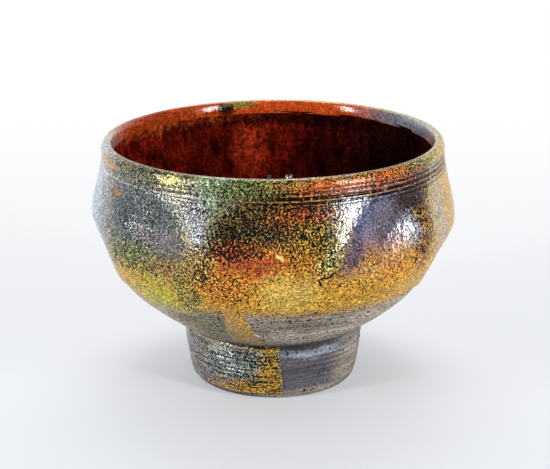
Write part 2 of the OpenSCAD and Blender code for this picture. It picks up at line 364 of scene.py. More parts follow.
def glaze_cover(angle, z):
    """Distance inside the outer glaze's edge: positive where there is glaze, negative on bare clay."""
    apron = smooth((APRON_HALF - np.abs(angle - APRON_ANGLE)) / APRON_SOFT + 0.5)
    edge = GLAZE_LINE_Z - APRON_FALL * apron + edge_wander(angle, 0)
    x = wall_radius(z) * np.sin(np.radians(angle))
    right = RUN_RIGHT_X + RUN_SPREAD * (GLAZE_LINE_Z - z) + 0.5 * edge_wander(z * 9, 1)
    left = RUN_LEFT_X + RUN_DRAW_IN * np.maximum(0, RUN_DRAW_IN_Z - z) + 0.8 * edge_wander(z * 7, 2)
    foot = z - RUN_LOW_Z - 0.5 * edge_wander(angle * 3, 3)
    run = np.minimum(np.minimum(x - left, right - x), foot)
    return np.where(np.abs(angle) < RUN_ANGLE, np.maximum(z - edge, run), z - edge)


# Meshes

# Edges that bend more than this stay sharp
SHARP_ANGLE = 62


def new_object(name, data):
    made = bpy.data.objects.new(name, data)
    bpy.context.scene.collection.objects.link(made)
    return made


def new_piece(name, points, faces, material, node, slot):
    """A smooth-shaded mesh that stands for a CAD node."""
    mesh = bpy.data.meshes.new(name)
    mesh.from_pydata(points.tolist(), [], faces)
    mesh.validate()
    mesh.shade_smooth()
    mesh.set_sharp_from_angle(angle=math.radians(SHARP_ANGLE))
    mesh.materials.append(material)
    piece = new_object(name, mesh)
    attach(piece, "root")
    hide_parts(node)


def ring_faces(count, rows, looped):
    """Quads between rings that climb the outside and come down the inside."""
    i, j = np.meshgrid(np.arange(rows if looped else rows - 1), np.arange(count), indexing="ij")
    up = (i + 1) % rows
    after = (j + 1) % count
    quads = np.stack([i * count + j, i * count + after, up * count + after, up * count + j], axis=-1)
    return quads.reshape(-1, 4).tolist()


def turned_skin(rings, looped=False):
    """Points and faces of a closed skin through rings. One that is not looped gets a point at each end."""
    rings = np.array(rings)
    rows, count = rings.shape[:2]
    points = rings.reshape(-1, 3)
    faces = ring_faces(count, rows, looped)
    if not looped:
        first, last = len(points), len(points) + 1
        points = np.concatenate([points, [rings[0].mean(0)], [rings[-1].mean(0)]])
        top = (rows - 1) * count
        faces += [[(j + 1) % count, j, first] for j in range(count)]
        faces += [[top + j, top + (j + 1) % count, last] for j in range(count)]
    return points, faces


def coat_skin(front, back, kept):
    """Points and faces of a coat that goes all round, drawn only where kept, with its rim walled."""
    rows, count = front.shape[:2]
    points = np.concatenate([front.reshape(-1, 3), back.reshape(-1, 3)])
    behind = rows * count
    i, j = np.nonzero(kept)
    after = (j + 1) % count
    a, b = i * count + j, i * count + after
    c, d = (i + 1) * count + after, (i + 1) * count + j
    faces = [np.stack([a, b, c, d], 1), np.stack([d, c, b, a], 1) + behind]
    around = np.pad(kept, ((1, 1), (0, 0)))
    sides = np.pad(kept, ((0, 0), (1, 1)), mode="wrap")
    for start, end, neighbour in (
        (a, b, around[i, j]),
        (c, d, around[i + 2, j]),
        (b, c, sides[i, j + 2]),
        (d, a, sides[i, j]),
    ):
        bare = ~neighbour
        s, e = start[bare], end[bare]
        faces.append(np.stack([e, s, s + behind, e + behind], 1))
    faces = np.concatenate(faces)
    used, renamed = np.unique(faces, return_inverse=True)
    return points[used], renamed.reshape(faces.shape).tolist()


def coat_sheets(angle, z, radius, normal, thick, cover, spill, axis_x=0):
    """Front and back of a coat and which of its cells are kept, as far beyond its edge as spill."""
    coat = np.where(cover > 0, thick, np.maximum(cover, -1) * COAT_DIP)
    deep = np.minimum(coat, 0) - COAT_DEEP
    out, up = normal
    front, back = (turned(angle, radius + high * out, z + high * up, axis_x) for high in (coat, deep))
    corner = np.maximum(cover, np.roll(cover, -1, axis=1))
    kept = np.maximum(corner[:-1], corner[1:]) > -spill
    return front, back, kept


def outer_rows():
    """Heights at which the outside is drawn, closer where lines and the glaze's edge need it."""
    stops = [SEAM_Z, EDGE_LOW_Z, EDGE_HIGH_Z, RIM_Z - LINED_H, RIM_Z - RIM_ROUND_H]
    counts = [18, 26, 44, 30]
    rows = [np.linspace(low, high, n, endpoint=False) for low, high, n in zip(stops, stops[1:], counts)]
    rounding = RIM_Z - RIM_ROUND_H * (1 - np.sin(np.linspace(0, np.pi / 2, 10)))
    return np.concatenate(rows + [rounding])


def outer_glaze_mesh():
    z = outer_rows()[:, None]
    cover = glaze_cover(ANGLES, z)
    x = wall_radius(z) * np.sin(np.radians(ANGLES))
    run_foot = ramp(x, *RUN_SWELLS_X) * ramp(z, *RUN_SWELLS_Z) * (np.abs(ANGLES) < RUN_ANGLE / 2)
    roll = ROLL_HIGH * np.exp(-((cover - ROLL_IN) / ROLL_HALF)**2) * (1 + RUN_ROLL * run_foot)
    thick = (OUTER_COAT + roll) * smooth(cover / COAT_TAPER)
    radius = clay_radius(ANGLES, z) - line_cut(ANGLES, z)
    return coat_skin(*coat_sheets(ANGLES, z, radius, wall_normal(z), thick, cover, spill=0.7))


def inner_path(rows_upper=6, rows_lower=14):
    """The clay's inside from the lip to the middle of the floor, coarse unless asked for more rows."""
    upper = bezier(INNER_UPPER, np.linspace(0, 1, rows_upper, endpoint=False))
    lower = bezier(INNER_LOWER, np.linspace(0, 1, rows_lower))
    return np.concatenate([upper, lower])


def beads(angle, z):
    """How far the beads stand out from the inside."""
    total = np.zeros(np.broadcast(angle, z).shape)
    for bead in BEADS:
        across = np.radians((angle - bead.angle + 180) % 360 - 180) * INNER_BELLY[0]
        total += bead.high * np.exp(-(across**2 + (z - bead.z)**2) / bead.wide**2)
    return total


def inner_rings(path, coat):
    """Rings of the inside, raised from the clay by a coat, with a spiral on the floor."""
    rows = path + coat * normals_of(path)
    radius, height = rows[:, :1], rows[:, 1:]
    push = DENT_THROUGH * dent_depth(ANGLES, path[:, 1:])
    lumps = ramp(radius, *INSIDE_UNEVEN_R) * unevenness(ANGLES + INSIDE_TURN, height) + beads(ANGLES, height)
    swing = np.sin(radius * SPIRAL_PACE + np.radians(ANGLES))
    spiral = SPIRAL_HIGH * ramp(radius, *SPIRAL_IN_R) * ramp(radius, *SPIRAL_OUT_R) * swing
    return turned(ANGLES, radius - push - lumps, height + spiral)


def inner_glaze_mesh():
    front = inner_rings(inner_path(42, 84), INNER_COAT)
    front[:1] = turned(ANGLES, *LIP_MITRE)
    back = inner_rings(inner_path(), -0.15)
    return turned_skin(np.concatenate([back[::-1], front]))


def lip_mesh():
    """A ring whose shown side runs over the lip and whose hidden side comes back inside the clay."""
    t = np.linspace(0, 1, 18)
    clay = bezier(LIP_TOP, t)
    thick = LIP_COAT + (INNER_COAT - LIP_COAT) * t[:, None]
    outer_top = CREST + OUTER_COAT * WALL_NORMALS[-1]
    top = clay + thick * normals_of(clay)
    shown = rounded([outer_top - [0, 0.4], outer_top, *top, LIP_MITRE - [0, 0.7]])
    hidden = np.concatenate([[LIP_EDGE + [0.2, -0.6]], clay[:0:-3] + [0.2, -0.25], [CREST - [0.1, 0.5]]])
    path = np.concatenate([shown, hidden])
    radius, height = path[:, :1], path[:, 1:]
    lumps = 0.9 * unevenness(ANGLES, np.full_like(height, RIM_Z))
    return turned_skin(turned(ANGLES, radius + lumps, height), looped=True)


def bowl_body_mesh():
    low = np.linspace(SEAM_Z, EDGE_LOW_Z, 26, endpoint=False)
    bare = np.linspace(EDGE_LOW_Z, EDGE_HIGH_Z + 1, 28)
    glazed = np.linspace(EDGE_HIGH_Z + 2, RIM_Z - RIM_ROUND_H, 12)
    z = np.concatenate([low, bare, glazed, [RIM_Z - 1.2, RIM_Z - 0.5]])[:, None]
    turning = turning_marks(ANGLES, z) * ramp(z, EDGE_HIGH_Z, EDGE_HIGH_Z - 3)
    under = CLAY_UNDER * ramp(z, EDGE_HIGH_Z - 4, EDGE_HIGH_Z) + line_cut(ANGLES, z)
    outside = turned(ANGLES, clay_radius(ANGLES, z) + turning - under, z)
    inside = inner_rings(inner_path(), -CLAY_UNDER_INSIDE)
    base_r = np.linspace(1.0, SEAM_R - 0.3, 26)[:, None]
    sunk = BASE_SUNK * ramp(base_r, HOLLOW_TOP_R, HOLLOW_TOP_R - 3)
    comb = COMB_HIGH * np.sin(base_r * COMB_PACE - np.radians(ANGLES))
    comb *= ramp(base_r, HOLLOW_TOP_R, HOLLOW_TOP_R - 2)
    base = turned(ANGLES, base_r, SEAM_Z + sunk + comb)
    return turned_skin(np.concatenate([base, outside, inside]))


def foot_path(steps=34):
    """The foot's outside from its top to the ring that it rests on, as (radius, height)."""
    top, side, rest = FOOT_TOP_R, FOOT_SIDE_R, FOOT_REST_R
    flank = [(top, FOOT_TOP_Z), (top, FOOT_TOP_Z * 0.65), (side + 0.9, FOOT_TOP_Z * 0.4), (side, FOOT_EDGE_H)]
    turn_in = [(side, FOOT_EDGE_H), (side - 0.5, FOOT_EDGE_H * 0.35), (rest + 1.6, 0), (rest, 0)]
    t = np.linspace(0, 1, steps)
    return np.concatenate([bezier(flank, t), bezier(turn_in, t[1::2])])


def foot_marks(angle, z):
    """Tool lines turned round the foot, dying out at its edges."""
    edges = ramp(z, 0.6, 2.6) * ramp(z, FOOT_TOP_Z, FOOT_TOP_Z - 1.2)
    return edges * (1.5 * turning_marks(angle, z) + 0.5 * hand_lumps(angle, z * 2))


def foot_ring_mesh():
    path = foot_path()
    outside = turned(ANGLES, path[:, :1] + foot_marks(ANGLES, path[:, 1:]), path[:, 1:], FOOT_X)
    hollow_z = np.concatenate([[0, 0.35, 1.0], np.linspace(2.5, FOOT_TOP_Z, 24)])[:, None]
    hollow_r = HOLLOW_R + (HOLLOW_TOP_R - HOLLOW_R) * hollow_z / FOOT_TOP_Z
    # The hollow's edge is eased
    hollow_r[:2, 0] += (1.0, 0.3)
    hollow = turned(ANGLES, hollow_r + foot_marks(ANGLES + 50, hollow_z * 0.9), hollow_z, FOOT_X)
    rest = turned(ANGLES, np.linspace(FOOT_REST_R, HOLLOW_R + 1, 6)[1:-1, None], np.zeros((4, 1)), FOOT_X)
    top_r = np.array([[HOLLOW_TOP_R + 3.5], [HOLLOW_TOP_R + 6.5]])
    top = turned(ANGLES, top_r, np.full_like(top_r, FOOT_TOP_Z), FOOT_X)
    return turned_skin(np.concatenate([outside, rest, hollow, top])[::-1], looped=True)


def foot_glaze_mesh():
    path = foot_path(44)
    path = path[path[:, 1] > FOOT_GLAZE_LOW * 0.5]
    z = path[:, 1:]
    right = FOOT_GLAZE_RIGHT + FOOT_GLAZE_SLANT * (FOOT_TOP_Z - z) + 1.3 * edge_wander(z * 11, 4)
    back = FOOT_GLAZE_BACK + 1.5 * edge_wander(z * 13, 5)
    low = FOOT_GLAZE_LOW + 0.25 * (1 + edge_wander(ANGLES * 2, 6))
    cover = np.minimum(right - ANGLES, ANGLES - back) * FOOT_MM_PER_DEGREE
    cover = np.minimum(np.minimum(cover, z - low), FOOT_TOP_Z + 0.2 - z)
    thick = (FOOT_COAT + 0.1 * thumb_marks(ANGLES, z) / THUMB_SIZE) * smooth(cover / 0.7)
    radius = path[:, :1] + foot_marks(ANGLES, z) * np.where(cover > 0, 0.8, 1)
    out, up = np.split(-normals_of(path), 2, axis=1)
    sheets = coat_sheets(ANGLES, z, radius, (out, up), thick, cover, spill=0.5, axis_x=FOOT_X)
    return coat_skin(*(sheet[::-1] for sheet in sheets))


def slip_mesh():
    low, high = SLIP_LOW[2], SLIP_HIGH[2]
    middle = (low + high) / 2
    outer = SLIP_HIGH[0] - FOOT_X
    inner = HOLLOW_TOP_R + 0.5
    path = np.array([
        (inner, low), (outer - 0.3, low), (outer, middle - 0.1), (outer + 0.05, middle + 0.1),
        (outer - 0.3, high), (inner, high), (inner - 0.15, middle),
    ])
    angle = ANGLES[:, ::2]
    ooze = 0.12 * thumb_marks(angle, path[:, 1:]) / THUMB_SIZE
    return turned_skin(turned(angle, path[:, :1] + ooze, path[:, 1:], FOOT_X), looped=True)


# Materials

COLOURS = {
    "pearl": "AEB8C4", "snow": "ECF0EE", "ivory": "AAB0B0", "gunmetal": "6C706E",
    "steel": "626C6E", "mauve": "847A80", "slate": "5E6E94", "heather": "6C6674",
    "ink": "46426A", "sage": "8AA488", "moss": "808A4C", "lime": "B0A438",
    "olive": "B88E36", "bronze": "A8924A", "ochre": "C68C2E", "straw": "C8A444",
    "wheat": "BC883C", "cream": "E6D27C", "sand": "BC8C3C", "flame": "D07826",
    "rust": "C2461A", "ember": "C65626", "cinnabar": "D85020", "sienna": "B06E34",
    "umber": "543426", "terracotta": "A8421A", "tan": "C49C48", "soot": "2C2010",
    "bracken": "866634", "black": "0A0806", "crimson": "982E18", "oxblood": "6C180A",
    "wine": "1C0404", "clay": "968C80", "bisque": "BEB0A0", "smoke": "706A5E",
    "dusk": "58535D", "frost": "A0ACB8", "fumed": "8A8268", "teal": "A8C6C2",
    "lilac": "A89888", "floor_near": "EBEEF3", "floor_far": "FFFFFF",
}


def tint(name):
    """Linear colour of a name in the list."""
    code = COLOURS[name]
    parts = [int(code[i:i + 2], 16) / 255 for i in (0, 2, 4)]
    return tuple(c / 12.92 if c <= 0.04045 else ((c + 0.055) / 1.055)**2.4 for c in parts) + (1.0,)


GLAZE_IOR = 1.52
INSIDE_IOR = 1.2
# Patches beyond this angle are laid on the map of the back
BACK_FROM = 110
# Grain below this level is a speck. The level rises with the share of specks, and its edge is this soft.
SPECK_LEVEL = 0.287
SPECK_RISE = 0.5
SPECK_EDGE = 0.03
# Stretch of the noise in combed clay: long round the bowl and fine from top to bottom
COMBED = (0.15, 0.15, 3.0)

# A patch of colour, which is a row of the tables below: its middle, half its width in degrees and half its
# height in millimetres, its colour and traits, how soft and strong it is, and how far it is turned
Patch = namedtuple(
    "Patch", "angle height wide tall colour specks lustre rough soft strength turn",
    defaults=(0.3, 0.0, 0.3, 0.6, 1.0, 0))


class Paint:
    """Builds the nodes of one material."""

    def __init__(self, name):
        self.material = bpy.data.materials.new(name)
        self.material.use_nodes = True
        self.tree = self.material.node_tree
        self.tree.nodes.clear()
        place = self.node("TexCoord").outputs["Object"]
        self.place = self.scaled(place, 1 / MM)
        self.x, self.y, self.z = self.node("SeparateXYZ", {0: self.place}).outputs
        self.angle = self.turn_from_front(1)

    def node(self, kind, inputs=None, **settings):
        made = self.tree.nodes.new("ShaderNode" + kind)
        for key, value in settings.items():
            setattr(made, key, value)
        for key, value in (inputs or {}).items():
            self.plug(made.inputs[key], value)
        return made

    def plug(self, socket, value):
        """Links a socket, or sets it to a number, a vector or the name of a colour."""
        if isinstance(value, bpy.types.NodeSocket):
            self.tree.links.new(value, socket)
        else:
            socket.default_value = tint(value) if isinstance(value, str) else value

    def math(self, operation, a, b=0.0, c=0.0):
        return self.node("Math", {0: a, 1: b, 2: c}, operation=operation).outputs[0]

    def times(self, a, b):
        return self.math("MULTIPLY", a, b)

    def gap(self, a, b):
        """How far apart two numbers are."""
        return self.math("ABSOLUTE", self.math("SUBTRACT", a, b))

    def total(self, *parts):
        """Sum of (value, weight) pairs."""
        result = 0.0
        for value, weight in parts:
            result = self.math("MULTIPLY_ADD", value, weight, result)
        return result

    def vector(self, operation, a, b, result="Vector"):
        """A vector from two others, or as the result "Value" a dot product or a distance."""
        return self.node("VectorMath", {0: a, 1: b}, operation=operation).outputs[result]

    def scaled(self, vector, factor):
        return self.node("VectorMath", {0: vector, "Scale": factor}, operation="SCALE").outputs[0]

    def mix(self, factor, a, b):
        return self.node("Mix", {0: factor, 6: a, 7: b}, data_type="RGBA").outputs[2]

    def span(self, value, low, high, to_low=0.0, to_high=1.0):
        """A smooth step from one value to another."""
        made = self.node(
            "MapRange", {0: value, 1: low, 2: high, 3: to_low, 4: to_high},
            interpolation_type="SMOOTHSTEP")
        return made.outputs[0]

    def noise_pair(self, size, detail=2.0, rough=0.5, stretch=None):
        """Value and colour of a noise with a period of this size in millimetres."""
        where = self.vector("MULTIPLY", self.place, stretch) if stretch else self.place
        made = self.node("TexNoise", {
            "Vector": where, "Scale": 1 / size, "Detail": detail, "Roughness": rough})
        return made.outputs[0], made.outputs[1]

    def noise(self, *settings):
        return self.noise_pair(*settings)[0]

    def stir(self, size, amount, detail=1.0):
        """A shift of place that wanders with a noise."""
        wander = self.vector("SUBTRACT", self.noise_pair(size, detail)[1], (0.5, 0.5, 0.5))
        return self.scaled(wander, amount)

    def turn_from_front(self, sign):
        """Angle from the front, or with sign -1 from the back, in degrees."""
        x = self.times(self.x, sign)
        y = self.times(self.y, -sign)
        return self.times(self.math("ARCTAN2", x, y), 180 / math.pi)

    def wrapped(self, coarse, fine):
        """Angle and height as flat maps of the front and of the back, stirred so that edges break up."""
        shift = self.vector("ADD", self.stir(9, coarse, 2), self.stir(0.8, fine))
        maps = []
        for angle in (self.angle, self.turn_from_front(-1)):
            flat = self.node("CombineXYZ", {0: angle, 1: self.z}).outputs[0]
            maps.append(self.vector("MULTIPLY", self.vector("ADD", flat, shift), (1, 1, 0)))
        return maps

    def reach(self, flat, middle, patch):
        """Distance from the middle of a patch, which is 1 on its edge."""
        cos, sin = math.cos(math.radians(patch.turn)), math.sin(math.radians(patch.turn))
        axes = np.array([(cos, sin, 0), (-sin, cos, 0)]) / [[patch.wide], [patch.tall]]
        across, up = (self.vector("DOT_PRODUCT", flat, axis, "Value") for axis in axes)
        near = self.node("CombineXYZ", {0: across, 1: up}).outputs[0]
        return self.vector("DISTANCE", near, (*(axes[:, :2] @ middle), 0), "Value")

    def patches(self, maps, colour, traits, rows):
        """Lays rows of patches on a ground: its colour, and its specks, lustre and roughness as a colour."""
        for patch in (Patch(*row) for row in rows):
            back = abs(patch.angle) > BACK_FROM
            angle = (patch.angle + 360) % 360 - 180 if back else patch.angle
            reach = self.reach(maps[1 if back else 0], (angle, patch.height), patch)
            mask = self.span(reach, 1 + patch.soft, 1 - patch.soft, 0, patch.strength)
            colour = self.mix(mask, colour, patch.colour)
            traits = self.mix(mask, traits, (patch.specks, patch.lustre, patch.rough, 1))
        return colour, traits

    def apart(self, traits):
        return self.node("SeparateColor", {0: traits}).outputs

    def mottled(self, colour, size, low, high, stretch=None):
        """A colour made darker and lighter by a noise. Returns the noise too."""
        value = self.noise(size, 3, 0.6, stretch)
        return self.scaled(colour, self.span(value, 0.3, 0.7, low, high)), value

    def flecked(self, colour, size, amount, turn=0.0):
        """A colour broken into small lighter and darker flecks. Turn is how far their hue goes round."""
        light, hues = self.noise_pair(size, 1)
        light = self.times(self.span(light, 0.3, 0.7, -1, 1), amount)
        other = self.node("SeparateColor", {0: hues}).outputs[1]
        shift = self.times(self.span(other, 0.3, 0.7, -0.3, 0.8), amount)
        hue = self.node("HueSaturation", {
            "Hue": self.math("MULTIPLY_ADD", shift, turn, 0.5),
            "Value": self.math("MULTIPLY_ADD", light, 1.1, 0.95), "Color": colour})
        return hue.outputs[0]

    def speckled(self, grain, specks, colour):
        """Dark specks where the grain is under a level. Where there are few, they are only browner."""
        level = self.math("MULTIPLY_ADD", specks, SPECK_RISE, SPECK_LEVEL)
        mask = self.span(self.math("SUBTRACT", level, grain), -SPECK_EDGE, SPECK_EDGE)
        brown = self.scaled(colour, 0.18)
        dark = self.mix(self.span(specks, 0.12, 0.34), brown, "black")
        return self.mix(mask, colour, dark), mask

    def scored(self, colour, clear):
        """Soot in the scored lines, as far as clear says that glaze has not filled them, and their burr."""
        breaks = self.span(self.noise(1.6, 2), 0.32, 0.5)
        right = self.math("SINE", self.times(self.angle, math.radians(1)))
        tilt = self.times(right, LEVEL_TILT)
        for n, line in enumerate(LINES):
            start = math.radians(LINE_START * n)
            swing = self.math("MULTIPLY_ADD", self.angle, math.radians(LINE_TURNS), start)
            place = self.total((self.math("SINE", swing), LINE_SWING), (tilt, 1), (1, RIM_Z - line.drop))
            apart = self.gap(self.z, place)
            mask = self.span(apart, 1.7 * line.half, 0.8 * line.half, 0, min(1, 2.6 * line.deep))
            mask = self.times(self.times(mask, breaks), clear)
            colour = self.mix(mask, colour, "black")
        return self.burred(colour, tilt, clear)

    def burred(self, colour, tilt, clear):
        """The burr between the deep lines: orange where they are clear, and whiter on the left, where it is a
        painted highlight of the left lamp.
        """
        height = self.total((self.z, 1), (tilt, -1), (1, BURR_DROP - RIM_Z))
        burr = self.span(self.math("ABSOLUTE", height), 0.3, 0.1, 0, 0.8)
        # Painted highlight on the burr, on the left
        white = self.span(self.angle, -13, -19, 0, 0.8)
        broken = self.times(burr, self.span(self.noise(1.1, 2), 0.44, 0.54))
        broken = self.times(broken, self.math("MAXIMUM", white, clear))
        return self.mix(broken, colour, self.mix(white, "flame", "snow"))

    def finish(self, colour, rough, height, metal=0.0, ior=GLAZE_IOR):
        """The surface shader. Height is the bump in millimetres."""
        bump = self.node("Bump", {"Strength": 1, "Distance": MM, "Height": height}).outputs[0]
        surface = self.node("BsdfPrincipled", {
            "Base Color": colour, "Roughness": rough, "Metallic": metal,
            "IOR": ior, "Normal": bump})
        out = self.node("OutputMaterial")
        self.tree.links.new(surface.outputs[0], out.inputs[0])
        return self.material


# Where the fire left which colour on the outside: the front as seen, the back in the same manner. Some rows,
# noted by them, are partly painted reflection and highlight.
OUTSIDE = [
    # Ground of the upper wall, from left to right
    # The pale pearl at the left edge is partly a painted reflection of the bright room at a grazing angle.
    (-82, 67, 22, 26, "pearl", 0.1, 0.4),
    (-44, 70, 22, 15, "gunmetal", 0.22, 0.6, 0.18),
    (-17, 77, 8, 13, "sage", 0.22, 0.3, 0.2),
    (2, 71, 22, 11, "bracken", 0.4, 0.05, 0.2),
    (36, 70, 17, 11, "slate", 0.14, 0.5, 0.13),
    (79, 66, 19, 24, "sand", 0.06, 0.1),
    # The lilac band beyond the right side's ridge is a painted highlight.
    (64, 66, 4.5, 17, "lilac", 0, 0.3, 0.28, 0.6, 0.9),
    # Left facet, its ivory right border and the green hem below it. The ivory and frost on that border are
    # partly a painted highlight, where the left lamp's reflection falls.
    (-54, 71, 6, 8, "steel", 0.24, 0.6, 0.18),
    (-36, 62, 9, 5, "mauve", 0.22, 0.5, 0.18),
    (-25, 75, 4, 5, "ivory", 0.5, 0.12, 0.16),
    (-22.8, 66.5, 2, 6, "frost", 0.45, 0.25, 0.12),
    (-48, 54, 18, 5, "moss", 0.38, 0.1, 0.22, 0.9, 0.8),
    (-36, 54, 7, 3, "sienna", 0.36, 0.1, 0.24, 0.9, 0.7),
    (-58, 47, 12, 5, "ochre", 0.26, 0, 0.28, 0.9, 0.8),
    (-38, 43, 11, 6, "lime", 0.22, 0, 0.3, 0.9, 0.85),
    (-27, 47, 4, 9, "bronze", 0.36, 0.05, 0.26),
    # Smoke and the orange flash on the front
    (-6, 70, 12, 8, "bracken", 0.52, 0.02, 0.2),
    (-15, 66, 4, 4, "bracken", 0.58, 0.02, 0.2, 0.8),
    (-20, 58, 4, 5.5, "cream", 0.62, 0.05, 0.16, 0.8),
    (10, 75, 10, 4, "ember", 0.46, 0, 0.2),
    (13, 67, 8, 6, "olive", 0.46, 0, 0.2),
    (-3, 58, 19, 7, "flame", 0.34, 0, 0.25),
    (-6.5, 58.2, 10.5, 4.2, "terracotta", 0.24, 0, 0.28),
    (-11.5, 62.8, 7, 3.2, "rust", 0.52, 0, 0.25),
    (-14, 50, 11, 5.5, "flame", 0.36, 0, 0.28, 0.7, 0.8),
    (5, 49, 9, 6, "tan", 0.16, 0),
    # Right facet: lustre with orange coming through from below
    (38, 58, 18, 7, "flame", 0.26, 0.05, 0.24, 0.9, 0.7),
    (40, 70, 9, 7, "heather", 0.14, 0.45, 0.18),
    (25, 61, 3.2, 6, "ink", 0.2, 0.45, 0.16, 0.8, 0.8, -12),
    # The frost and lilac on the right ridge lie where the right lamp's highlight falls: partly painted
    # highlight.
    (25, 76, 4, 5, "frost", 0.14, 0.6, 0.1, 0.8, 1, -20),
    (21, 68, 2.3, 6, "lilac", 0.26, 0.35, 0.1, 0.8, 1, -25),
    (17, 60, 2.4, 5, "cream", 0.46, 0.1, 0.12, 0.8, 1, -25),
    (53, 66, 3.5, 12, "sienna", 0.4, 0.05, 0.2, 0.7),
    (49, 76, 7, 5, "umber", 0.5, 0.2, 0.2),
    # The pearl lies where the right lamp's glint falls on the facet: partly painted highlight.
    (48, 65.5, 3, 4.5, "pearl", 0.2, 0.4, 0.1, 0.8),
    # Rim band
    (-48, 82.5, 22, 3, "fumed", 0.38, 0.3, 0.2),
    (-8, 83, 12, 3.2, "moss", 0.38, 0.1, 0.2),
    (22, 83, 20, 2.8, "ember", 0.26, 0.05, 0.14),
    (40, 83.5, 10, 2.4, "ember", 0.32, 0.05, 0.14),
    (52, 83, 5, 2.6, "ember", 0.46, 0.1, 0.2),
    (62, 84.6, 4, 1.6, "lime", 0.3, 0.1, 0.24),
    (-34, 83.4, 4, 1.4, "cream", 0.1, 0.1, 0.2, 0.4),
    (-71, 83.6, 3.5, 1.6, "flame", 0.14, 0.05, 0.24, 0.4),
    (-64, 82.2, 2.5, 1.3, "flame", 0.14, 0.05, 0.24, 0.4),
    (-58, 74, 2.5, 1.6, "sienna", 0.35, 0.05, 0.24, 0.5),
    # The run over the bare clay
    (-15.5, 33, 7, 9, "wheat", 0.18, 0, 0.3, 0.3),
    (-22, 30, 6, 8, "fumed", 0.3, 0, 0.4, 0.9, 0.8),
    # Back: the same fire, other places
    (104, 66, 16, 16, "gunmetal", 0.24, 0.6, 0.18),
    (140, 70, 22, 10, "olive", 0.58, 0.05, 0.2),
    (150, 58, 20, 5, "rust", 0.3, 0, 0.26, 0.9, 0.8),
    (178, 69, 19, 9, "heather", 0.2, 0.5, 0.17, 0.9, 0.85),
    (-172, 50, 16, 6, "straw", 0.2, 0),
    (-142, 72, 20, 11, "sage", 0.36, 0.35, 0.2, 0.9, 0.7),
    (-135, 57, 16, 6, "flame", 0.34, 0, 0.26),
    (-112, 66, 14, 15, "gunmetal", 0.24, 0.6, 0.2),
    (160, 83, 30, 3, "ember", 0.36, 0.05, 0.2),
    (-130, 83, 30, 3, "bronze", 0.4, 0.2, 0.22),
]

# Cracks where the coat crawled, scratches, and a painted highlight: middle, half of length and of width,
# colour and turn
MARKS = [
    (15.5, 54.5, 3, 0.35, "black", 12),
    (13.8, 53, 1.4, 0.35, "black", -55),
    (17.5, 55.5, 1.6, 0.35, "black", 40),
    (52.5, 57, 2, 0.5, "black", -65),
    (49, 54.5, 1.2, 0.4, "black", 60),
    (-57, 54, 2.8, 0.5, "black", 70),
    (-54.5, 51.5, 1.4, 0.4, "black", -50),
    (-26.5, 65.2, 2.6, 0.4, "lime", -25),
    (2, 61.4, 1.6, 0.6, "cream", -40),
    # Painted highlight on the roll at the foot of the run
    (-5.5, 28.6, 2.6, 0.7, "snow", -30),
    (128, 52, 3, 0.4, "black", 30),
    (-150, 53, 3, 0.4, "black", -35),
]

# A crater left by a burst bubble, seen as a dark ring
CRATER = Patch(-21.8, 54.5, 1.9, 1.8, "black")


def fired_ground(p):
    """Ground of the outside: ochre low down, bronze above, and clay showing where the coat is thin."""
    upper = p.span(p.total((p.noise(5, 2), 8), (p.z, 1)), 54, 68)
    colour = p.mix(upper, "ochre", "bronze")
    traits = p.mix(upper, (0.22, 0, 0.28, 1), (0.4, 0.2, 0.22, 1))
    thin = p.span(p.total((p.noise(1.2, 2), 3.5), (p.z, 1)), GLAZE_LINE_Z + 2.2, GLAZE_LINE_Z + 0.6)
    return p.mix(p.times(thin, 0.6), colour, "clay"), traits


def cracked(p, colour, traits):
    """Cracks, scratches, a painted highlight, the crater's ring and fine pepper."""
    crisp = p.wrapped(0.8, 1.4)
    marks = [Patch(*mark, soft=0.3, turn=turn) for *mark, turn in MARKS]
    colour, _ = p.patches(crisp, colour, traits, marks)
    ring = p.gap(p.reach(crisp[0], CRATER[:2], CRATER), 1)
    colour = p.mix(p.span(ring, 0.3, 0.12, 0, 0.85), colour, "black")
    pepper = p.span(p.noise(0.45, 1), 0.36, 0.31, 0, 0.85)
    return p.mix(pepper, colour, "black")


def outer_glaze_paint():
    p = Paint("flashed_lustre_glaze")
    grain = p.noise(0.58, 2, 0.6)
    colour, traits = fired_ground(p)
    colour, traits = p.patches(p.wrapped(6, 8), colour, traits, OUTSIDE)
    specks, lustre, rough = p.apart(traits)
    specks = p.math("ADD", specks, 0.08)
    colour, mottle = p.mottled(colour, 2.4, 0.9, 1.4)
    colour = p.flecked(colour, 0.7, p.total((lustre, 0.3), (specks, 0.6), (1, 0.2)), 0.12)
    # White flecks in the lustre zones: painted glints
    painted_glints = p.times(p.span(p.noise(0.6, 1), 0.58, 0.7), lustre)
    colour = p.mix(painted_glints, colour, "snow")
    veins = p.gap(p.noise(0.8, 1), 0.5)
    colour, dark = p.speckled(p.total((grain, 0.95), (veins, 0.5)), specks, colour)
    colour = cracked(p, colour, traits)
    opened = p.span(p.angle, LINE_OPENS[0] + SOOT_LATER, LINE_OPENS[1])
    clear = p.times(opened, p.span(p.angle, *LINE_FILLS, LINE_LEFT_OPEN, 1))
    colour = p.scored(colour, clear)
    metal = p.times(lustre, p.total((dark, -0.7), (1, 1)))
    rough = p.total((grain, 0.2), (rough, 1), (1, -0.1))
    relief = p.times(grain, p.span(p.angle, 12, 24, 0.13, 0.07))
    ripple = p.noise(1.4, 1)
    return p.finish(colour, rough, p.total((relief, 1), (ripple, 0.16), (mottle, 0.2)), metal)


